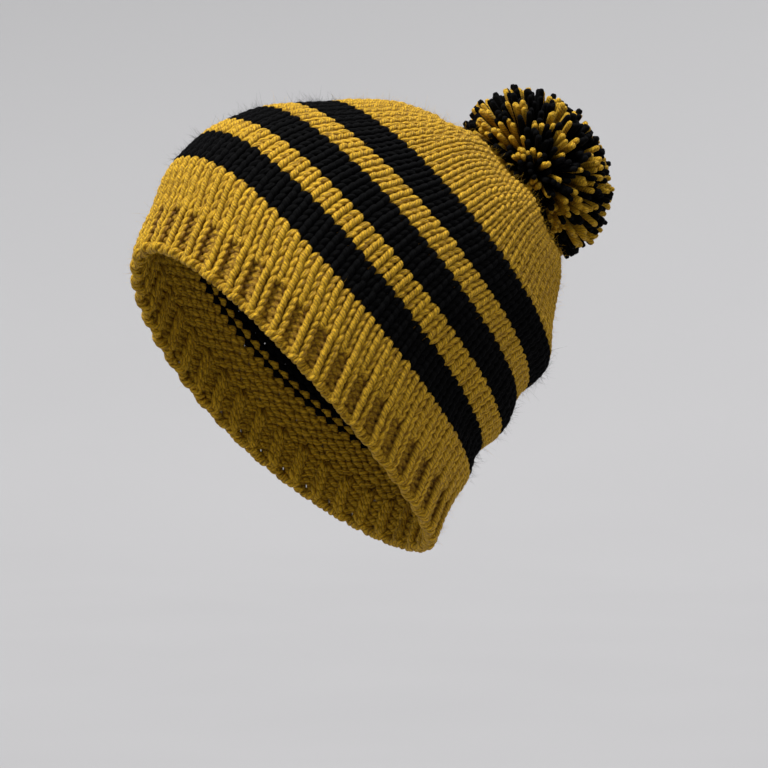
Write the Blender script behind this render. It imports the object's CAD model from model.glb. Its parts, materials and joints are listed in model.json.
"""Knitted beanie with a pompom: every course is a real looped strand of yarn.

The frame is metres, +Z up, the wearer faces -X. The hat's own axis leans back, so points are
placed by three directions: UP along that axis, AFT from forehead to nape, and SIDE (+Y).
"""

import json
import math

import bpy
import numpy as np
from bpy.props import FloatProperty, FloatVectorProperty, IntProperty, PointerProperty
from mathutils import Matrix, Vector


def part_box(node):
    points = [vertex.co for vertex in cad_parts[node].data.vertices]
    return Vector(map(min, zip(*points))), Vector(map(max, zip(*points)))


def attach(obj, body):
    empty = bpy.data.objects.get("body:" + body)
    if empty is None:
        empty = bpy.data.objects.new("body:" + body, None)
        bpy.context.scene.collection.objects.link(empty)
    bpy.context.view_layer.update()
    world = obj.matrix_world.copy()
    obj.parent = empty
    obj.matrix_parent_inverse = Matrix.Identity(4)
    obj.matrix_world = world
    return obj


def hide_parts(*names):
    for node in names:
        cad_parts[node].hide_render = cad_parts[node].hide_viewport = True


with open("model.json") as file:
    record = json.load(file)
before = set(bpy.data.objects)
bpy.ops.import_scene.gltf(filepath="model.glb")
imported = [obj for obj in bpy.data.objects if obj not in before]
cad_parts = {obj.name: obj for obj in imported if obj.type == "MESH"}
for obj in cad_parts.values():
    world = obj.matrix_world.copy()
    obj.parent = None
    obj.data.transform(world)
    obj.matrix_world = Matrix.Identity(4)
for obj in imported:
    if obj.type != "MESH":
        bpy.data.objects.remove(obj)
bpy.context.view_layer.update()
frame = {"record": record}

bl_info = {
    "name": "Knitted beanie",
    "version": (1, 0, 0),
    "blender": (4, 5, 0),
    "location": "3D View > Sidebar > Beanie",
    "description": "Builds a striped beanie stitch by stitch, with its pompom",
    "category": "Add Mesh",
}

# ---- the hat's outline ---------------------------------------------------
# Share of all courses, then rise / height, tip, shift and half length (each / half the brim
# length), half width and ear drop (both / half the brim width).
OUTLINE = np.array([
    [0.0, 0.0, 0.0, -0.015, 0.985, 1.0, -0.1],
    [0.1, 0.13, 0.02, -0.09, 0.99, 1.02, -0.1],
    [0.2, 0.267, 0.045, -0.1425, 1.0175, 1.005, -0.095],
    [0.28, 0.376, 0.055, -0.1475, 1.0075, 0.98, -0.09],
    [0.34, 0.455, 0.055, -0.135, 0.985, 0.96, -0.085],
    [0.42, 0.56, 0.055, -0.11, 0.94, 0.925, -0.07],
    [0.48, 0.635, 0.055, -0.065, 0.9, 0.885, -0.06],
    [0.56, 0.74, 0.055, -0.0175, 0.8175, 0.82, -0.045],
    [0.64, 0.845, 0.055, -0.01, 0.69, 0.74, -0.02],
    [0.72, 0.93, 0.05, 0.025, 0.575, 0.64, 0.0],
    [0.8, 0.982, 0.045, 0.065, 0.445, 0.51, 0.0],
    [0.88, 0.972, 0.025, 0.1, 0.285, 0.34, 0.0],
    [0.96, 0.912, 0.01, 0.12, 0.125, 0.155, 0.0],
    [1.0, 0.898, 0.0, 0.125, 0.055, 0.0729, 0.0],
])
ROWS = 50
RIB_ROWS = 5
STRIPES = [  # piece, CAD node, first course, courses, yarn
    ("knit_band", "gold_band", 5, 5, "gold"),
    ("knit_black_1", "black_stripe_1", 10, 4, "black"),
    ("knit_gold_1", "gold_stripe_1", 14, 3, "gold"),
    ("knit_black_2", "black_stripe_2", 17, 4, "black"),
    ("knit_gold_2", "gold_stripe_2", 21, 3, "gold"),
    ("knit_black_3", "black_stripe_3", 24, 4, "black"),
]
CROWN_START = 28
CROWN_PIECES = (("lower", 28, 6), ("middle", 34, 6), ("upper", 40, 10))  # first course, courses
PANELS = 8  # wedges of the crown, each losing stitches at its edge
PANEL_COURSES = [0, 28, 32, 36, 40, 44, 48, 50]
PANEL_STITCHES = [10, 10, 9.5, 8, 6, 3.9, 1.8, 1.0]
PLEATS = 8
MM = 0.001


class BeanieSettings(bpy.types.PropertyGroup):
    """Sizes and colours a user would change."""

    brim_length: FloatProperty(
        name="Brim length", description="Across the brim, forehead to nape", default=0.22, unit="LENGTH")
    brim_width: FloatProperty(
        name="Brim width", description="Across the brim, ear to ear", default=0.166, unit="LENGTH")
    height: FloatProperty(
        name="Height", description="Brim plane to the top of the crown", default=0.161, unit="LENGTH")
    lean: FloatProperty(
        name="Lean", description="How far the hat's axis leans back", default=math.radians(46), unit="ROTATION")
    yarn_radius: FloatProperty(
        name="Yarn radius", description="Half the thickness of the yarn", default=0.00185, unit="LENGTH")
    leg_step: FloatProperty(
        name="Leg step", description="How far left legs stand out and right legs sink", default=0.00022,
        unit="LENGTH")
    loop_skew: FloatProperty(
        name="Loop skew", description="Slant of a loop, as a share of its width", default=0.06)
    loop_depth: FloatProperty(
        name="Loop depth", description="How far legs stand in front of loop heads", default=0.0011, unit="LENGTH")
    loop_lean: FloatProperty(
        name="Loop lean", description="Sideways swing of a loop, as a share of its width", default=0.165)
    loop_reach: FloatProperty(
        name="Loop reach", description="Half height of a loop, in courses", default=0.86)
    rib_recess: FloatProperty(
        name="Rib recess", description="How far the purl columns sink", default=0.003, unit="LENGTH")
    wall: FloatProperty(
        name="Wall", description="Thickness of the knitted fabric", default=0.0056, unit="LENGTH")
    pompom_radius: FloatProperty(
        name="Pompom radius", description="Centre to the yarn ends, across the hat's axis", default=0.046,
        unit="LENGTH")
    pompom_rise: FloatProperty(
        name="Pompom rise", description="Centre to the yarn ends, along the pompom's axis", default=0.0345,
        unit="LENGTH")
    pompom_strands: IntProperty(
        name="Pompom strands", description="Cut yarn ends in the pompom", default=1240)
    fuzz: IntProperty(
        name="Fuzz", description="Loose fibres on each colour of knitting", default=7000)
    gold: FloatVectorProperty(
        name="Gold", description="Colour of the gold yarn", subtype="COLOR", size=4, default=(0.7, 0.415, 0.018, 1))
    black: FloatVectorProperty(
        name="Black", description="Colour of the black yarn", subtype="COLOR", size=4,
        default=(0.0018, 0.0018, 0.002, 1))


def settings():
    """The scene's beanie settings."""
    return bpy.context.scene.beanie


# ---- numpy shapes --------------------------------------------------------
def smooth(x):
    """Eased step: 0 below 0, 1 above 1, 3x^2 - 2x^3 between."""
    t = np.clip(x, 0, 1)
    return t * t * (3 - 2 * t)


def directions():
    """UP, AFT and SIDE unit vectors: the hat's axis leans back by the lean angle."""
    lean = settings().lean
    up = np.array([math.sin(lean), 0, math.cos(lean)])
    aft = np.array([math.cos(lean), 0, -math.sin(lean)])
    return up, aft, np.array([0.0, 1.0, 0.0])


def place(up, aft, side):
    """Point from its distances along UP, AFT and SIDE, each an array of the same shape."""
    u, a, s = directions()
    return np.asarray(up)[..., None] * u + np.asarray(aft)[..., None] * a + np.asarray(side)[..., None] * s


def outline_at(share, column):
    """Cubic Hermite curve through one OUTLINE column, with harmonic-mean slopes."""
    x, y = OUTLINE[:, 0], OUTLINE[:, column]
    run = np.diff(x)
    rise = np.diff(y) / run
    w1, w2 = 2 * run[1:] + run[:-1], run[1:] + 2 * run[:-1]
    same = rise[1:] * rise[:-1] > 0
    safe = np.where(rise == 0, 1.0, rise)
    inner = np.where(same, (w1 + w2) / (w1 / safe[:-1] + w2 / safe[1:]), 0.0)
    slope = np.concatenate([rise[:1], inner, rise[-1:]])
    i = np.clip(np.searchsorted(x, share, side="right") - 1, 0, len(run) - 1)
    t = (share - x[i]) / run[i]
    ends = slope[i] * (t**3 - 2 * t**2 + t) + slope[i + 1] * (t**3 - t**2)
    return y[i] * (2 * t**3 - 3 * t**2 + 1) + y[i + 1] * (3 * t**2 - 2 * t**3) + run[i] * ends


def plain_point(angle, course):
    """Smooth outer surface: a ring at each course, cosine along AFT and sine along SIDE.

    Angle 0 is the forehead, a quarter turn the left ear (-Y), half a turn the nape.
    """
    s = settings()
    share = course / ROWS
    rise, tip, shift, length, width, drop = (outline_at(share, c) for c in range(1, 7))
    reach, span = s.brim_length / 2, s.brim_width / 2
    up = rise * s.height + tip * reach * np.cos(angle) + drop * span * np.sin(angle) ** 2
    return place(up, shift * reach - length * reach * np.cos(angle), -width * span * np.sin(angle))


def plain_normal(angle, course):
    """Outward normal: cross product of the surface's two central differences."""
    e = 0.01
    low, high = np.maximum(course - e, 0), np.minimum(course + e, ROWS)
    around = plain_point(angle + e, course) - plain_point(angle - e, course)
    along = plain_point(angle, high) - plain_point(angle, low)
    normal = np.cross(around, along)
    return normal / np.linalg.norm(normal, axis=-1, keepdims=True)


def fold_depth(angle, course):
    """Slack folds down the nape (a cosine wave of courses) and pleats at the gathered top."""
    share = course / ROWS
    back = ((1 - np.cos(angle)) / 2) ** 3
    slack = smooth((share - 0.14) / 0.12) * smooth((0.66 - share) / 0.1)
    wave = (1 - np.cos(2 * np.pi * (course - 18) / 10)) / 2
    drawn = smooth((share - 0.6) / 0.22) * smooth((1.0 - share) / 0.1)
    return (4.5 * back * slack * wave + 3.0 * drawn * (1 - np.cos(PLEATS * angle)) / 2) * MM


def fabric_point(angle, course, depth):
    """Point at a depth below the folded outer surface, along the plain surface's normal."""
    course = np.clip(course, 0, ROWS - 0.02)
    inward = fold_depth(angle, course) + depth
    return plain_point(angle, course) - plain_normal(angle, course) * inward[..., None]


def unit(v):
    """Vectors scaled to length one."""
    return v / np.maximum(np.linalg.norm(v, axis=-1, keepdims=True), 1e-12)


def tube_frames(path, facing, closed):
    """Tangent, facing direction made square to it, and their cross product."""
    if closed:
        tangent = np.roll(path, -1, axis=-2) - np.roll(path, 1, axis=-2)
    else:
        tangent = np.gradient(path, axis=-2)
    tangent = unit(tangent)
    e1 = unit(facing - (facing * tangent).sum(-1, keepdims=True) * tangent)
    return e1, np.cross(tangent, e1)


class MeshParts:
    """Collects vertices, faces and per-corner values of several tubes into one mesh."""

    def __init__(self):
        self.points, self.quads, self.tris = [], [], []
        self.quad_uv, self.tri_uv, self.quad_bake, self.tri_bake = [], [], [], []
        self.depth = []
        self.count = 0
        self.cells = 0

    def add(self, points, depth, quads, quad_uv, quad_bake, tris=None, tri_uv=None, tri_bake=None):
        """Appends one batch; indices are counted from the batch's own first vertex."""
        self.points.append(points.reshape(-1, 3))
        self.depth.append(np.broadcast_to(depth, points.shape[:-1]).ravel())
        self.quads.append(quads + self.count)
        self.quad_uv.append(quad_uv)
        self.quad_bake.append(quad_bake)
        if tris is not None:
            self.tris.append(tris + self.count)
            self.tri_uv.append(tri_uv)
            self.tri_bake.append(tri_bake)
        self.count += points.reshape(-1, 3).shape[0]

    def build(self, name, material, body="hat", nodes=()):
        """Makes the object, its two UV maps and its depth attribute."""
        points = np.concatenate(self.points)
        quads = np.concatenate(self.quads) if self.quads else np.zeros((0, 4), int)
        tris = np.concatenate(self.tris) if self.tris else np.zeros((0, 3), int)
        mesh = bpy.data.meshes.new(name)
        mesh.vertices.add(len(points))
        mesh.vertices.foreach_set("co", points.astype(np.float32).ravel())
        corners = np.concatenate([quads.ravel(), tris.ravel()]).astype(np.int32)
        starts = np.concatenate([np.arange(len(quads)) * 4, len(quads) * 4 + np.arange(len(tris)) * 3])
        mesh.loops.add(len(corners))
        mesh.loops.foreach_set("vertex_index", corners)
        mesh.polygons.add(len(starts))
        mesh.polygons.foreach_set("loop_start", starts.astype(np.int32))
        mesh.polygons.foreach_set("use_smooth", np.ones(len(starts), bool))
        for layer, quad_values, tri_values in (
            ("yarn", self.quad_uv, self.tri_uv), ("OFBake", self.quad_bake, self.tri_bake),
        ):
            values = [v.reshape(-1, 2) for v in quad_values] + [v.reshape(-1, 2) for v in tri_values]
            uv = mesh.uv_layers.new(name=layer)
            uv.data.foreach_set("uv", np.concatenate(values).astype(np.float32).ravel())
        recess = mesh.attributes.new("recess", "FLOAT", "POINT")
        recess.data.foreach_set("value", np.concatenate(self.depth).astype(np.float32))
        mesh.update(calc_edges=True)
        mesh.validate()
        piece = bpy.data.objects.new(name, mesh)
        bpy.context.scene.collection.objects.link(piece)
        mesh.materials.append(material)
        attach(piece, body)
        if nodes:
            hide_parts(*nodes)
        return piece


def bake_cells(cell, columns, along, around):
    """Places a chart's corner (along, around in 0..1) in its own square of the bake layout."""
    margin = 0.05
    u = (cell % columns + margin + (1 - 2 * margin) * along) / columns
    v = (cell // columns + margin + (1 - 2 * margin) * around) / columns
    return np.stack(np.broadcast_arrays(u, v), -1)


def corner_grid(n, sides, closed):
    """Quad indices of an n by sides tube, wound so that faces point out."""
    i, j = np.meshgrid(np.arange(n if closed else n - 1), np.arange(sides), indexing="ij")
    i2, j2 = (i + 1) % n, (j + 1) % sides
    quads = np.stack([i * sides + j, i * sides + j2, i2 * sides + j2, i2 * sides + j], -1)
    step_i = np.stack([i, i, i + 1, i + 1], -1)
    step_j = np.stack([j, j + 1, j + 1, j], -1)
    return quads.reshape(-1, 4), step_i.reshape(-1, 4), step_j.reshape(-1, 4)


PLIES = 4
PLY_PITCH = 5.2 * MM  # yarn length in which a ply goes once round


def loop_tube(parts, path, facing, radii, depth, middle, buried, segments, columns, twist_rate):
    """Closed tube round a course: ellipse of the two radii carried along the looped path.

    The ply phase grows with the way round the strand and with the twist along it. The recess
    of a point is its distance from the nearer face of the fabric, whose middle lies at a depth
    (one number, or one for each step), times the share by which each step is buried.
    """
    sides = 9
    n = len(path)
    e1, e2 = tube_frames(path, facing, True)
    turn = 2 * np.pi * np.arange(sides) / sides
    ring = (radii[0][:, None, None] * np.cos(turn)[None, :, None] * e1[:, None]
            + radii[1][:, None, None] * np.sin(turn)[None, :, None] * e2[:, None])
    points = path[:, None] + ring
    below = (depth - middle)[:, None] - radii[0][:, None] * np.cos(turn)[None]
    crest = settings().loop_depth + radii[0][:, None]
    recess = smooth((crest - np.abs(below)) / crest) * buried[:, None]
    quads, i, j = corner_grid(n, sides, True)
    step = np.linalg.norm(np.roll(path, -1, 0) - path, axis=1)
    twist = np.concatenate([[0], np.cumsum(step * twist_rate)])
    twist *= max(1.0, round(twist[-1])) / max(twist[-1], 1e-9)
    length = np.concatenate([[0], np.cumsum(step)])
    uv = np.stack([PLIES * j / sides + twist[i], length[i] / PLY_PITCH], -1)
    cell = parts.cells + (i[:, :1] // segments)
    along = (i - (i[:, :1] // segments) * segments) / segments
    bake = bake_cells(cell, columns, along, j / sides)
    parts.cells += n // segments
    parts.add(points, recess, quads, uv, bake)


def strand_batch(parts, paths, facing, radius, taper, recess, columns, phase):
    """Open tubes of one length of steps: a round section carried along each path, ends closed.

    paths is (strands, steps, 3). Each end is shut by a fan round the last point.
    """
    sides = 8
    count, n, _ = paths.shape
    e1, e2 = tube_frames(paths, facing, False)
    turn = 2 * np.pi * np.arange(sides) / sides
    size = (np.broadcast_to(radius, (count,))[:, None] * taper[None])[..., None, None]
    ring = size * (np.cos(turn)[:, None] * e1[:, :, None] + np.sin(turn)[:, None] * e2[:, :, None])
    body = (paths[:, :, None] + ring).reshape(count, -1, 3)
    points = np.concatenate([body, paths[:, :1], paths[:, -1:]], axis=1)
    per = n * sides + 2
    base = (np.arange(count) * per)[:, None, None]
    quads, i, j = corner_grid(n, sides, False)
    step = np.linalg.norm(np.diff(paths, axis=1), axis=2)
    length = np.concatenate([np.zeros((count, 1)), np.cumsum(step, axis=1)], axis=1) / PLY_PITCH
    start = np.broadcast_to(phase, (count,))[:, None, None]
    turns = PLIES * length[:, i] * 0.7
    uv = np.stack([PLIES * j[None] / sides + turns + start, length[:, i] + start], -1)
    cell = (parts.cells + np.arange(count))[:, None, None]
    bake = bake_cells(cell, columns, i[None] / n * 0.9 + 0.05, j[None] / sides)
    k = np.arange(sides)
    k2 = (k + 1) % sides
    first = np.stack([np.full(sides, n * sides), k2, k], -1)
    last = np.stack([np.full(sides, n * sides + 1), (n - 1) * sides + k, (n - 1) * sides + k2], -1)
    tris = np.concatenate([first, last])[None] + base
    end_uv = np.stack([PLIES * np.stack([k, k, k2], -1) / sides, np.zeros((sides, 3))], -1)
    tri_uv = np.broadcast_to(np.concatenate([end_uv, end_uv])[None], (count, 2 * sides, 3, 2)) + start[..., None]
    shift = np.concatenate([np.zeros((sides, 3)), np.full((sides, 3), 0.96)])
    tri_bake = bake_cells(cell, columns, shift[None] + 0.02, np.array([0.5, 0.2, 0.8])[None, None])
    parts.cells += count
    parts.add(points, np.broadcast_to(recess, points.shape[:-1]), (quads[None] + base).reshape(-1, 4),
              uv.reshape(-1, 4, 2), bake.reshape(-1, 4, 2), tris.reshape(-1, 3), tri_uv.reshape(-1, 3, 2),
              tri_bake.reshape(-1, 3, 2))


# ---- knitting ------------------------------------------------------------
SEGMENTS = 22  # steps along one stitch


def even_angle(turn):
    """Angle at an even share of the way round the oval: solves turn = angle - k sin(2 angle)."""
    s = settings()
    oval = (s.brim_length**2 - s.brim_width**2) / (s.brim_length**2 + s.brim_width**2)
    angle = np.linspace(-7, 14, 4000)
    return np.interp(turn, angle - oval / 4 * np.sin(2 * angle), angle)


def stitch_edges(course):
    """Turns of the stitch boundaries in one course: equal steps in each panel, the last one
    taking what is left, so that wales run on smoothly and end at the panel's edge."""
    n = float(np.interp(course + 0.5, PANEL_COURSES, PANEL_STITCHES))
    whole = max(1, math.ceil(n - 0.15))
    inside = np.minimum(np.arange(whole) / n, 1.0)
    edges = (np.arange(PANELS)[:, None] + inside[None]).ravel() * 2 * np.pi / PANELS
    return np.append(edges, 2 * np.pi)


def wander(position, values):
    """Periodic straight-line blend of one random value per stitch."""
    n = len(values)
    return np.interp(position, np.arange(n + 1) + 0.5, np.append(values, values[0]), period=n)


def knit_course(parts, course, rng, columns):
    """One course of loops: sideways t + a sin 2t, lengthways -cos t, depth cos 2t.

    Legs stand in front and heads and feet behind; a purl column mirrors the depth and sinks.
    """
    s = settings()
    edges = stitch_edges(course)
    count = len(edges) - 1
    t = np.arange(count * SEGMENTS) / SEGMENTS  # counted in stitches
    swing = 2 * np.pi * t
    tightness = [rng.normal(0, sigma, count) for sigma in (0.014, 0.045, 0.1, 0.03, 0.04)]
    lean = s.loop_lean + wander(t, tightness[0])
    across = t + lean * np.sin(2 * swing) + wander(t, tightness[3]) - s.loop_skew * np.cos(swing)
    ribbed = course < RIB_ROWS
    if ribbed:
        across = across - 0.07 * np.cos(np.pi * t)
    turn = np.interp(across % count, np.arange(count + 1), edges) + 2 * np.pi * np.floor(across / count)
    angle = even_angle(turn)
    reach = s.loop_reach * (1 + wander(t, tightness[1]))
    row = course + 0.5 - reach * np.cos(swing) + 0.06 * wander(t, tightness[4])
    row = row + 0.8 * np.clip(1 - row / RIB_ROWS, 0, None)
    row = np.where(row > ROWS - 2, ROWS - 2 + 0.8 * (row - ROWS + 2), row)
    knit = np.clip(2.4 * np.sin(np.pi * t), -1, 1)
    sink = (1 - knit) / 2
    settle = smooth((RIB_ROWS + 3.5 - row) / 4.0)
    if ribbed:
        shape = knit
        recess = s.rib_recess * sink * (0.35 + 0.65 * smooth((RIB_ROWS + 0.3 - row) / 1.2))
    else:
        shape = 1.0
        recess = 0.9 * MM * sink * settle
    loop = s.loop_depth * shape * np.cos(2 * swing)
    front = s.leg_step * np.sin(swing) * shape
    middle = s.yarn_radius + s.loop_depth
    depth = middle + loop - front + recess + 0.8 * MM * wander(t, tightness[2])
    path = fabric_point(angle, row, depth)
    facing = plain_normal(angle, np.clip(row, 0, ROWS - 0.1))
    wide = np.diff(edges)[(np.arange(len(t)) // SEGMENTS)]
    e = 0.005
    level = np.clip(row, 0, ROWS)
    span = plain_point(even_angle(turn + e), level) - plain_point(even_angle(turn - e), level)
    width = np.linalg.norm(span, axis=1) / (2 * e) * wide
    flat = np.clip(0.24 * width, 0.6 * s.yarn_radius, 1.14 * s.yarn_radius)
    flat = (flat + np.roll(flat, 3) + np.roll(flat, -3)) / 3
    plump = 1 + 0.05 * wander(t, rng.normal(0, 1, count)) + 0.03 * np.sin(swing)
    radii = (0.97 * s.yarn_radius * plump * (0.5 + 0.5 * flat / s.yarn_radius), flat * plump)
    # the left leg keeps its twist and shows slanted plies; the right leg lies nearly untwisted
    twist = (0.53 + 0.47 * np.sin(swing)) * PLIES / PLY_PITCH
    buried = 0.3 + 0.7 * smooth((row - 0.5) / 1.3)  # the edge lies open
    loop_tube(parts, path, facing, radii, depth, middle + 0.66 * recess, buried, SEGMENTS, columns, twist)


def knit(name, nodes, first, courses, yarn):
    """A band of knitting as one piece: its courses, each a closed strand."""
    rng = np.random.default_rng(100 + first)
    total = sum(len(stitch_edges(c)) - 1 for c in range(first, first + courses))
    if first == 0:
        total += 2
    columns = math.ceil(math.sqrt(total))
    parts = MeshParts()
    for course in range(first, first + courses):
        knit_course(parts, course, rng, columns)
    return parts.build(name, yarn_material(yarn), nodes=nodes)


def cast_on_edge():
    """Two strands wound round each other along the brim's edge, one turn per stitch."""
    s = settings()
    stitches = 80
    per = 16
    columns = math.ceil(math.sqrt(2 * stitches))
    rng = np.random.default_rng(7)
    parts = MeshParts()
    for half in range(2):
        t = np.arange(stitches * per) / per
        angle = even_angle(2 * np.pi * t / stitches)
        turn = 2 * np.pi * t + np.pi * half + 0.5 * wander(t, rng.normal(0, 1, stitches))
        row = 0.5 + 0.3 * np.cos(turn)
        sink = (1 - np.clip(2.4 * np.sin(np.pi * t), -1, 1)) / 2
        depth = s.yarn_radius + 1.2 * MM + 1.1 * MM * np.sin(turn) + 0.7 * s.rib_recess * sink
        path = fabric_point(angle, row, depth)
        facing = plain_normal(angle, row)
        size = s.yarn_radius * (0.86 + 0.06 * wander(t, rng.normal(0, 1, stitches)))
        twist = np.full(len(t), 0.6 * PLIES / PLY_PITCH)
        buried = np.full(len(t), 0.25)
        loop_tube(parts, path, facing, (size, size), depth, s.yarn_radius + 1.5 * MM, buried, per, columns,
                  twist)
    return parts.build("cast_on_edge", yarn_material("gold"))


# ---- loose yarn ----------------------------------------------------------
def cord_piece(name, path, radius, yarn, body, nodes, closed=False, recess=0.4):
    """One strand of yarn along a path, closed on itself or with both ends shut."""
    parts = MeshParts()
    facing = unit(np.cross(unit(np.gradient(path, axis=0)), np.array([0.3, 0.2, 0.93])))
    if closed:
        size = np.full(len(path), radius)
        step = max(4, len(path) // 16)
        columns = math.ceil(math.sqrt(len(path) // step + 1))
        twist = np.full(len(path), 0.6 * PLIES / PLY_PITCH)
        loop_tube(parts, path, facing, (size, size), 0 * size, 3 * MM, 1 + 0 * size, step, columns, twist)
    else:
        taper = np.ones(len(path))
        taper[[0, -1]] = 0.8
        strand_batch(parts, path[None], facing[None], radius, taper, recess, 1, 0.0)
    return parts.build(name, yarn_material(yarn), body, nodes)


def smooth_path(points, steps):
    """Straight-line resampling of a few points, then three passes of neighbour averaging."""
    points = np.asarray(points, float)
    at = np.linspace(0, len(points) - 1, steps)
    path = np.stack([np.interp(at, np.arange(len(points)), points[:, k]) for k in range(3)], -1)
    for _ in range(3):
        path[1:-1] = (path[:-2] + path[1:-1] + path[2:]) / 3
    return path


# ---- materials -----------------------------------------------------------
def new_group(name, inputs, outputs):
    """Empty shader group with named sockets."""
    group = bpy.data.node_groups.new(name, "ShaderNodeTree")
    for label, kind, value in inputs:
        socket = group.interface.new_socket(label, in_out="INPUT", socket_type=kind)
        if value is not None:
            socket.default_value = value
    for label, kind in outputs:
        group.interface.new_socket(label, in_out="OUTPUT", socket_type=kind)
    return group, group.nodes.new("NodeGroupInput"), group.nodes.new("NodeGroupOutput")


def math_node(tree, operation, a, b=None):
    """A Math node fed by sockets or plain numbers."""
    node = tree.nodes.new("ShaderNodeMath")
    node.operation = operation
    for socket, value in zip(node.inputs, (a, b)):
        if value is None:
            continue
        if isinstance(value, (int, float)):
            socket.default_value = value
        else:
            tree.links.new(value, socket)
    return node.outputs[0]


def ply_group():
    """Plied strand: rounded ridges from the ply phase, fine fibres lying along each ply."""
    if "plied_yarn" in bpy.data.node_groups:
        return bpy.data.node_groups["plied_yarn"]
    tree, entry, leave = new_group(
        "plied_yarn",
        [("Yarn UV", "NodeSocketVector", None), ("Fibre Weight", "NodeSocketFloat", 0.35),
         ("Wobble", "NodeSocketFloat", 1.6)],
        [("Height", "NodeSocketFloat"), ("Ply", "NodeSocketFloat"), ("Fibre", "NodeSocketFloat")],
    )
    split = tree.nodes.new("ShaderNodeSeparateXYZ")
    tree.links.new(entry.outputs["Yarn UV"], split.inputs[0])
    drift = tree.nodes.new("ShaderNodeTexNoise")
    drift.inputs["Scale"].default_value = 1.3
    drift.inputs["Detail"].default_value = 2.0
    tree.links.new(entry.outputs["Yarn UV"], drift.inputs["Vector"])
    wobble = math_node(tree, "MULTIPLY", drift.outputs["Fac"], entry.outputs["Wobble"])
    phase = math_node(tree, "ADD", split.outputs["X"], wobble)
    wave = math_node(tree, "SINE", math_node(tree, "MULTIPLY", phase, math.pi))
    ply = math_node(tree, "POWER", math_node(tree, "ABSOLUTE", wave), 0.6)
    stretch = tree.nodes.new("ShaderNodeVectorMath")
    stretch.operation = "MULTIPLY"
    stretch.inputs[1].default_value = (5.0, 3.6, 1.0)
    tree.links.new(entry.outputs["Yarn UV"], stretch.inputs[0])
    noise = tree.nodes.new("ShaderNodeTexNoise")
    noise.inputs["Scale"].default_value = 1.6
    noise.inputs["Detail"].default_value = 4.0
    noise.inputs["Roughness"].default_value = 0.62
    tree.links.new(stretch.outputs[0], noise.inputs["Vector"])
    spread = tree.nodes.new("ShaderNodeMapRange")
    spread.inputs["From Min"].default_value = 0.34
    spread.inputs["From Max"].default_value = 0.66
    tree.links.new(noise.outputs["Fac"], spread.inputs["Value"])
    fibre = spread.outputs["Result"]
    fine = math_node(tree, "MULTIPLY", fibre, entry.outputs["Fibre Weight"])
    tree.links.new(math_node(tree, "ADD", ply, fine), leave.inputs["Height"])
    tree.links.new(ply, leave.inputs["Ply"])
    tree.links.new(fibre, leave.inputs["Fibre"])
    return tree


def dye_group():
    """Uneven dye: broad cloudy variation over the hat, from Object coordinates."""
    if "uneven_dye" in bpy.data.node_groups:
        return bpy.data.node_groups["uneven_dye"]
    tree, entry, leave = new_group(
        "uneven_dye", [("Position", "NodeSocketVector", None)], [("Shade", "NodeSocketFloat")])
    noise = tree.nodes.new("ShaderNodeTexNoise")
    noise.inputs["Scale"].default_value = 38.0
    noise.inputs["Detail"].default_value = 2.0
    tree.links.new(entry.outputs["Position"], noise.inputs["Vector"])
    tree.links.new(noise.outputs["Fac"], leave.inputs["Shade"])
    return tree


def mix_colour(tree, factor, a, b, blend="MIX"):
    """A Mix Color node from sockets or plain colours."""
    node = tree.nodes.new("ShaderNodeMix")
    node.data_type = "RGBA"
    node.blend_type = blend
    for socket, value in ((node.inputs[0], factor), (node.inputs[6], a), (node.inputs[7], b)):
        if isinstance(value, (int, float)) or isinstance(value, tuple):
            socket.default_value = value
        else:
            tree.links.new(value, socket)
    return node.outputs[2]


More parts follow.
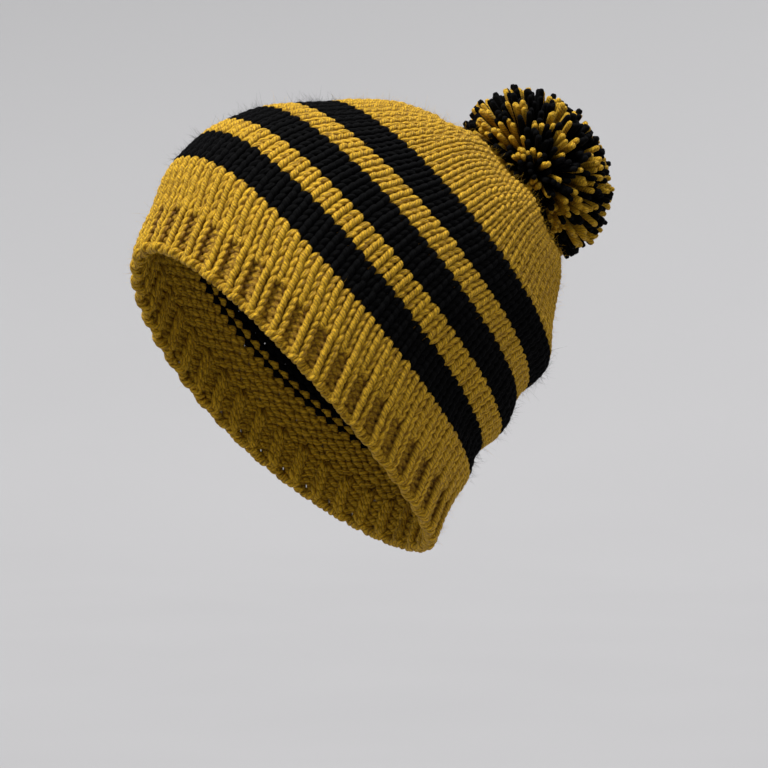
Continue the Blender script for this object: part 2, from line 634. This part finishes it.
def yarn_material(yarn):
    """Yarn: dark between plies and deep in the loops, streaked with fibres, softly sheened."""
    name = f"{yarn}_yarn_knit"
    if name in bpy.data.materials:
        return bpy.data.materials[name]
    s = settings()
    gold = yarn == "gold"
    colour = tuple(s.gold if gold else s.black)
    scale = lambda k: tuple(c * k for c in colour[:3]) + (1.0,)
    crevice = (0.1, 0.03, 0.001, 1.0) if gold else scale(0.4)
    material = bpy.data.materials.new(name)
    material.use_nodes = True
    tree = material.node_tree
    shader = tree.nodes["Principled BSDF"]
    uv = tree.nodes.new("ShaderNodeUVMap")
    uv.uv_map = "yarn"
    ply = tree.nodes.new("ShaderNodeGroup")
    ply.node_tree = ply_group()
    ply.inputs["Fibre Weight"].default_value = 0.75 if gold else 0.45
    tree.links.new(uv.outputs["UV"], ply.inputs["Yarn UV"])
    where = tree.nodes.new("ShaderNodeTexCoord")
    dye = tree.nodes.new("ShaderNodeGroup")
    dye.node_tree = dye_group()
    tree.links.new(where.outputs["Object"], dye.inputs["Position"])
    recess = tree.nodes.new("ShaderNodeAttribute")
    recess.attribute_name = "recess"
    dark = (0.25, 0.118, 0.002, 1.0) if gold else scale(0.34)
    light = (1.2, 0.72, 0.028, 1.0) if gold else scale(1.62)
    streaks = mix_colour(tree, ply.outputs["Fibre"], dark, light)
    clouds = mix_colour(tree, dye.outputs["Shade"], scale(0.9), scale(1.1))
    body = mix_colour(tree, 0.2, streaks, clouds)
    groove = math_node(tree, "SUBTRACT", 1.0, ply.outputs["Ply"])
    grooved = mix_colour(tree, math_node(tree, "MULTIPLY", groove, 0.85), body, crevice)
    deep = math_node(tree, "MULTIPLY", recess.outputs["Fac"], 0.92)
    base = mix_colour(tree, deep, grooved, crevice)
    tree.links.new(base, shader.inputs["Base Color"])
    rough = math_node(tree, "ADD", math_node(tree, "MULTIPLY", ply.outputs["Fibre"], 0.3), 0.42 if gold else 0.7)
    tree.links.new(rough, shader.inputs["Roughness"])
    bump = tree.nodes.new("ShaderNodeBump")
    bump.inputs["Strength"].default_value = 0.9 if gold else 0.6
    bump.inputs["Distance"].default_value = 0.55 * MM
    tree.links.new(ply.outputs["Height"], bump.inputs["Height"])
    tree.links.new(bump.outputs["Normal"], shader.inputs["Normal"])
    shader.inputs["Specular IOR Level"].default_value = 0.2 if gold else 0.04
    shader.inputs["Sheen Weight"].default_value = 0.1 if gold else 0.012
    shader.inputs["Sheen Roughness"].default_value = 0.45
    shader.inputs["Sheen Tint"].default_value = (1.0, 0.72, 0.2, 1.0) if gold else (0.5, 0.5, 0.55, 1.0)
    return material


def stage_material():
    """Plain pale backdrop with a barely visible cloudiness."""
    material = bpy.data.materials.new("pale_backdrop")
    material.use_nodes = True
    tree = material.node_tree
    shader = tree.nodes["Principled BSDF"]
    where = tree.nodes.new("ShaderNodeTexCoord")
    noise = tree.nodes.new("ShaderNodeTexNoise")
    noise.inputs["Scale"].default_value = 3.0
    tree.links.new(where.outputs["Object"], noise.inputs["Vector"])
    tint = mix_colour(tree, noise.outputs["Fac"], (0.235, 0.233, 0.237, 1.0), (0.25, 0.248, 0.252, 1.0))
    split = tree.nodes.new("ShaderNodeSeparateXYZ")
    tree.links.new(where.outputs["Object"], split.inputs[0])
    climb = tree.nodes.new("ShaderNodeMapRange")
    climb.inputs["From Min"].default_value = -0.32
    climb.inputs["From Max"].default_value = 0.5
    tree.links.new(split.outputs["Z"], climb.inputs["Value"])
    shade = mix_colour(tree, climb.outputs["Result"], tint, (0.345, 0.343, 0.348, 1.0))
    tree.links.new(shade, shader.inputs["Base Color"])
    shader.inputs["Roughness"].default_value = 0.95
    shader.inputs["Specular IOR Level"].default_value = 0.1
    return material


# ---- operators -----------------------------------------------------------
class KnitBrim(bpy.types.Operator):
    """Ribbed brim: knit columns stand out and purl columns sink between them"""

    bl_idname = "beanie.knit_brim"
    bl_label = "Ribbed brim"

    def execute(self, context):
        knit("knit_rib", ["rib_brim"], 0, RIB_ROWS, "gold")
        cast_on_edge()
        return {"FINISHED"}


class KnitStripes(bpy.types.Operator):
    """Plain gold band and the black and gold stripes above it"""

    bl_idname = "beanie.knit_stripes"
    bl_label = "Stripes"

    def execute(self, context):
        for name, node, first, courses, yarn in STRIPES:
            knit(name, [node], first, courses, yarn)
        return {"FINISHED"}


class KnitCrown(bpy.types.Operator):
    """Crown in three pieces, losing stitches in eight panels up to the gather"""

    bl_idname = "beanie.knit_crown"
    bl_label = "Crown"

    def execute(self, context):
        for label, first, courses in CROWN_PIECES:
            knit(f"knit_crown_{label}", ["gold_crown"], first, courses, "gold")
        return {"FINISHED"}


class CarriedYarn(bpy.types.Operator):
    """Yarn inside the hat: carried strands behind the stripes and the cast-on tail"""

    bl_idname = "beanie.carried_yarn"
    bl_label = "Carried yarn"

    def execute(self, context):
        s = settings()
        starts = [entry[2] for entry in STRIPES] + [CROWN_START]
        for i in range(1, 6):
            gold = i % 2 == 1
            angle = math.pi + (0.035 if gold else -0.035)
            number = (i + 1) // 2
            node = f"{'gold' if gold else 'black'}_carry_{number}"
            rows = np.linspace(starts[i] + 0.3, starts[i + 1] - 0.3, 14)
            turn = np.full(14, angle) + 0.006 * np.sin(np.linspace(0, 5, 14))
            fold = fold_depth(turn, rows)
            deep = s.wall + 0.75 * np.minimum(fold, 4.5 * MM) + 2.3 * MM - fold
            path = fabric_point(turn, rows, deep)
            cord_piece(node.replace("carry", "carried"), path, 1.45 * MM, "gold" if gold else "black", "hat", [node])
        rows = np.linspace(0.6, 8, 30)
        turn = np.full(30, math.pi + 0.12) + 0.008 * np.sin(np.linspace(0, 18, 30))
        fold = fold_depth(turn, rows)
        path = fabric_point(turn, rows, s.wall + 0.75 * np.minimum(fold, 4.5 * MM) + 2.3 * MM - fold)
        cord_piece("woven_tail", path, 1.45 * MM, "gold", "hat", ["cast_on_tail"])
        return {"FINISHED"}


class GatherAndTie(bpy.types.Operator):
    """Drawn-up gather, the pompom's cord, its knot and tails inside, and the tie at its core"""

    bl_idname = "beanie.gather_and_tie"
    bl_label = "Gather and tie"

    def execute(self, context):
        lows = {n: np.array(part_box(n)[0]) for n in ("gather_yarn", "inner_knot", "pompom_tie", "pompom_shank")}
        highs = {n: np.array(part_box(n)[1]) for n in lows}
        middle = {n: (lows[n] + highs[n]) / 2 for n in lows}
        up, aft, side = directions()
        t = np.linspace(0, 2 * np.pi, 72, endpoint=False)
        circle = np.cos(t)[:, None] * aft + np.sin(t)[:, None] * side
        wobble = (0.25 * MM * np.sin(7 * t))[:, None] * up
        cord_piece("drawn_gather", middle["gather_yarn"] + 3.8 * MM * circle + wobble, 1.4 * MM, "gold", "hat",
                   ["gather_yarn"], closed=True)
        knot_r = 2.6 * MM + 0.9 * MM * np.cos(3 * t)
        knot = (knot_r * np.cos(2 * t))[:, None] * aft + (knot_r * np.sin(2 * t))[:, None] * side
        knot = knot + (1.9 * MM * np.sin(3 * t))[:, None] * up
        cord_piece("tied_knot", middle["inner_knot"] + knot, 1.35 * MM, "black", "hat", ["inner_knot"], closed=True)
        for hand, label in ((-1, "left"), (1, "right")):
            low, high = (np.array(c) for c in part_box(f"knot_tail_{label}"))
            centre = (low + high) / 2
            drop = np.linspace(-0.013, 0.013, 16)
            sway = 0.0011 * np.sin(drop * 260 + hand)
            path = centre - drop[:, None] * up + (0.06 * drop + sway)[:, None] * aft
            path = path + (hand * 0.22 * drop)[:, None] * side
            cord_piece(f"tail_{label}", path, 1.5 * MM, "black", "hat", [f"knot_tail_{label}"])
        foot = np.array([lows["pompom_shank"][0], 0, lows["pompom_shank"][2]])
        head = np.array([highs["pompom_shank"][0], 0, highs["pompom_shank"][2]])
        along = np.linspace(0.03, 0.97, 60)[:, None]
        twirl = np.linspace(0, 6 * np.pi, 60)
        spin = np.cos(twirl)[:, None] * side + np.sin(twirl)[:, None] * unit(np.cross(head - foot, side))
        for half, sign in ((1, 1), (2, -1)):
            path = foot + (head - foot) * along + sign * 0.95 * MM * spin
            cord_piece(f"pompom_cord_{half}", path, 0.95 * MM, "black", "shank", ["pompom_shank"])
        turns = np.linspace(0, 2 * np.pi * 5, 150)
        wrap = np.cos(turns)[:, None] * aft + np.sin(turns)[:, None] * up
        layer = np.linspace(-2.6 * MM, 2.6 * MM, 150)[:, None] * side
        cord_piece("wound_tie", middle["pompom_tie"] + 5.4 * MM * wrap + layer, 1.5 * MM, "black", "tie",
                   ["pompom_tie"])
        return {"FINISHED"}


def pompom_directions(count, rng):
    """Directions spread by the golden angle, then jittered; the first column is along UP."""
    k = np.arange(count) + 0.5
    rise = 1 - 2 * k / count
    turn = np.pi * (1 + 5**0.5) * k
    flat = np.sqrt(1 - rise**2)
    spread = np.stack([rise, flat * np.cos(turn), flat * np.sin(turn)], -1)
    return unit(spread + rng.normal(0, 0.055, spread.shape))


class MakePompom(bpy.types.Operator):
    """Pompom: strands fan out from the tie, bend a little and end bluntly, in two colours"""

    bl_idname = "beanie.pompom"
    bl_label = "Pompom"

    def execute(self, context):
        s = settings()
        rng = np.random.default_rng(42)
        low, high = (np.array(c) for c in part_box("pompom_tie"))
        centre = (low + high) / 2
        up, aft, side = directions()
        local = pompom_directions(s.pompom_strands, rng)
        outward = local[:, :1] * up + local[:, 1:2] * aft + local[:, 2:] * side
        count = len(local)
        tilt = math.radians(18)
        along_axis = local[:, 0] * math.cos(tilt) + local[:, 1] * math.sin(tilt)
        tip = 1 / np.hypot(along_axis / s.pompom_rise, np.sqrt(1 - along_axis**2) / s.pompom_radius)
        tip = tip * (1 + rng.normal(0, 0.03, count).clip(-0.08, 0.05))
        nested = smooth((-local[:, 0] - 0.32) / 0.3)
        tip = tip * (1 - nested) + np.minimum(tip, 34.8 * MM) * nested
        bend = unit(np.cross(outward, rng.normal(0, 1, (count, 3)))) * rng.uniform(0.3, 3.5, (count, 1)) * MM
        steps = 10
        along = np.append(np.linspace(0, 0.975, steps - 1), 1.0)
        reach = (7 * MM + (tip[:, None] - 7 * MM) * along)[..., None]
        paths = centre + outward[:, None] * reach + bend[:, None] * (along**2)[None, :, None]
        clumps = np.array([[13.0, 5.1, -7.2], [-7.3, 15.0, 8.1], [6.0, -8.0, 16.0]])
        cloud = np.sin(outward @ clumps.T + np.array([0.6, 2.1, 4.0])).sum(1)
        black = cloud + rng.normal(0, 0.75, count) > -0.38
        keep = local[:, 0] > -0.86
        facing = unit(np.cross(outward, rng.normal(0, 1, (count, 3))))[:, None]
        radius = rng.uniform(1.3, 1.65, count) * MM
        taper = np.array([0.35, 0.6, 0.8, 0.95, 1, 1, 1.03, 1.08, 1.02, 0.66])
        tufts = {"gold": [], "black": []}
        for piece in frame["record"]["subparts"]:
            if piece["node"].startswith("tuft_"):
                tufts[piece["material_slot"].split("_")[0]].append(piece["node"])
        for yarn, mask in (("gold", ~black & keep), ("black", black & keep)):
            parts = MeshParts()
            columns = math.ceil(math.sqrt(mask.sum()))
            recess = np.zeros((mask.sum(), steps * 8 + 2))
            recess[:, :-2] = np.repeat(smooth((1.0 - along) / 0.65), 8)[None]
            strand_batch(parts, paths[mask], np.broadcast_to(facing[mask], paths[mask].shape), radius[mask],
                         taper, recess, columns, rng.uniform(0, 5, mask.sum()))
            parts.build(f"pompom_{yarn}", yarn_material(yarn), "pompom", tufts[yarn])
        return {"FINISHED"}


def fibres(name, roots, outward, drift, length, radius, yarn, body):
    """Loose hairs: thin three-sided cones bent from the surface normal towards a drift."""
    steps = 4
    count = len(roots)
    along = np.linspace(0, 1, steps)[None, :, None]
    reach = length[:, None, None]
    paths = roots[:, None] + reach * (outward[:, None] * along + drift[:, None] * along**1.6)
    e1, e2 = tube_frames(paths, np.broadcast_to(unit(np.cross(outward, drift))[:, None], paths.shape), False)
    turn = 2 * np.pi * np.arange(3) / 3
    width = radius * np.array([1.0, 0.85, 0.6])[None, :, None, None]
    rings = paths[:, :-1, None] + width * (
        np.cos(turn)[:, None] * e1[:, :-1, None] + np.sin(turn)[:, None] * e2[:, :-1, None])
    points = np.concatenate([rings.reshape(count, -1, 3), paths[:, -1:]], axis=1)
    base = (np.arange(count) * 10)[:, None, None]
    quads, i, j = corner_grid(3, 3, False)
    k, k2 = np.arange(3), (np.arange(3) + 1) % 3
    cap = np.array([[0, 2, 1]])
    tip = np.stack([6 + k, 6 + k2, np.full(3, 9)], -1)
    tris = np.concatenate([cap, tip])[None] + base
    parts = MeshParts()
    columns = math.ceil(math.sqrt(count))
    cell = np.arange(count)[:, None, None]
    quad_uv = np.broadcast_to(np.stack([j / 3, i / 3], -1)[None], (count, *i.shape, 2))
    quad_bake = bake_cells(cell, columns, i[None] / 3 * 0.9, j[None] / 3)
    tri_uv = np.zeros((count, 4, 3, 2)) + 0.5
    tri_bake = bake_cells(cell, columns, np.full((1, 4, 3), 0.93) + np.array([0, 0.03, 0.06]), np.array([0.4, 0.6, 0.5]))
    parts.add(points, 0.0, (quads[None] + base).reshape(-1, 4), quad_uv.reshape(-1, 4, 2),
              quad_bake.reshape(-1, 4, 2), tris.reshape(-1, 3), tri_uv.reshape(-1, 3, 2), tri_bake.reshape(-1, 3, 2))
    return parts.build(name, yarn_material(yarn), body)


class BrushedFuzz(bpy.types.Operator):
    """Halo of short loose fibres, longer and denser on the black stripes"""

    bl_idname = "beanie.fuzz"
    bl_label = "Fuzz"

    def execute(self, context):
        s = settings()
        bands = {"gold": [(0.5, 9), (14.8, 16), (21.8, 23), (29, 48)], "black": [(10, 14), (17, 21), (24, 28)]}
        for yarn, spans in bands.items():
            rng = np.random.default_rng(900 + len(yarn))
            sizes = np.array([b - a for a, b in spans], float)
            pick = rng.choice(len(spans), s.fuzz, p=sizes / sizes.sum())
            starts = np.array([a for a, _ in spans])[pick]
            course = starts + rng.uniform(0, 1, s.fuzz) * sizes[pick]
            angle = rng.uniform(0, 2 * np.pi, s.fuzz)
            roots = fabric_point(angle, course, np.full(s.fuzz, 0.7 * MM))
            outward = unit(plain_normal(angle, course) + rng.normal(0, 0.45, (s.fuzz, 3)))
            drift = rng.normal(0, 0.8, (s.fuzz, 3))
            longest = 4.2 if yarn == "black" else 3.2
            length = rng.uniform(1.2, longest, s.fuzz) * MM
            fibres(f"fuzz_{yarn}", roots, outward, drift, length, 0.045 * MM, yarn, "hat")
        return {"FINISHED"}


class BuildStage(bpy.types.Operator):
    """Round pale floor that curves up into a wall, soft lights and the camera"""

    bl_idname = "beanie.stage"
    bl_label = "Stage"

    def execute(self, context):
        scene = context.scene
        floor_z = -0.33
        flat, curve, wall = 2.4, 1.4, 1.9
        bend = np.linspace(0, np.pi / 2, 20)
        radius = np.concatenate([[0.0, 0.4, 1.2], flat + curve * np.sin(bend), [flat + curve]])
        height = np.concatenate([[0.0] * 3, curve * (1 - np.cos(bend)), [wall]]) + floor_z
        turn = np.linspace(0, 2 * np.pi, 97)[:-1]
        points = np.stack([
            radius[None] * np.cos(turn)[:, None], radius[None] * np.sin(turn)[:, None],
            np.broadcast_to(height, (96, len(height)))], -1)
        i, j = np.meshgrid(np.arange(96), np.arange(1, len(radius) - 1), indexing="ij")
        m = len(radius)
        i2 = (i + 1) % 96
        quads = np.stack([i * m + j, i * m + j + 1, i2 * m + j + 1, i2 * m + j], -1).reshape(-1, 4)
        k = np.arange(96)
        tris = np.stack([np.zeros(96, int), k * m + 1, ((k + 1) % 96) * m + 1], -1)
        mesh = bpy.data.meshes.new("pale_stage")
        mesh.from_pydata(points.reshape(-1, 3).tolist(), [], quads.tolist() + tris.tolist())
        mesh.polygons.foreach_set("use_smooth", np.ones(len(mesh.polygons), bool))
        stage = bpy.data.objects.new("pale_stage", mesh)
        scene.collection.objects.link(stage)
        mesh.materials.append(stage_material())

        world = bpy.data.worlds.new("soft_room")
        scene.world = world
        world.use_nodes = True
        world.node_tree.nodes["Background"].inputs["Color"].default_value = (0.98, 0.98, 1.0, 1.0)
        world.node_tree.nodes["Background"].inputs["Strength"].default_value = 0.34
        for name, spot, spread, power in (
            ("key_light", (-1.35, -0.1, 2.9), 24.0, 5.2),
            ("fill_light", (0.2, -2.0, 0.8), 60.0, 0.25),
            ("top_light", (0.7, 0.2, 2.5), 40.0, 1.9),
        ):
            light = bpy.data.lights.new(name, "SUN")
            light.angle = math.radians(spread)
            light.energy = power
            lamp = bpy.data.objects.new(name, light)
            scene.collection.objects.link(lamp)
            place_facing(lamp, np.array(spot), np.array([0.04, 0.0, 0.03]))
        scene.view_settings.view_transform = "Standard"

        camera_data = bpy.data.cameras.new("camera")
        camera = bpy.data.objects.new("camera", camera_data)
        scene.collection.objects.link(camera)
        azimuth, elevation, distance = math.radians(-27), math.radians(3), 1.8
        back = np.array([math.sin(azimuth) * math.cos(elevation), -math.cos(azimuth) * math.cos(elevation),
                         math.sin(elevation)])
        right = np.array([math.cos(azimuth), math.sin(azimuth), 0.0])
        rise = np.cross(back, right)
        camera_data.sensor_width = 36.0
        camera_data.lens = 36.0 * distance / 0.384
        camera_data.clip_end = 30.0
        place_facing(camera, back * distance, right * 0.049 + rise * 0.011)
        scene.camera = camera
        return {"FINISHED"}


def place_facing(thing, spot, target):
    """Stands a lamp or camera at a spot, its -Z axis towards the target and no roll."""
    from mathutils import Vector

    thing.location = Vector(spot)
    thing.rotation_mode = "QUATERNION"
    thing.rotation_quaternion = Vector(target - spot).to_track_quat("-Z", "Y")


STEPS = (BuildStage, KnitBrim, KnitStripes, KnitCrown, CarriedYarn, GatherAndTie, MakePompom, BrushedFuzz)


class BeaniePanel(bpy.types.Panel):
    """Lists the beanie's settings and steps"""

    bl_idname = "VIEW3D_PT_beanie"
    bl_label = "Beanie"
    bl_space_type = "VIEW_3D"
    bl_region_type = "UI"
    bl_category = "Beanie"

    def draw(self, context):
        for name in BeanieSettings.__annotations__:
            self.layout.prop(context.scene.beanie, name)
        for step in STEPS:
            self.layout.operator(step.bl_idname)


CLASSES = (BeanieSettings, *STEPS, BeaniePanel)


def register():
    """Registers the classes and hangs the settings on the scene."""
    for cls in CLASSES:
        bpy.utils.register_class(cls)
    bpy.types.Scene.beanie = PointerProperty(type=BeanieSettings)


def unregister():
    """Takes the settings and the classes away again."""
    del bpy.types.Scene.beanie
    for cls in reversed(CLASSES):
        bpy.utils.unregister_class(cls)


def main():
    register()
    for step in STEPS:
        group, name = step.bl_idname.split(".")
        getattr(getattr(bpy.ops, group), name)()


if __name__ == "__main__":
    main()
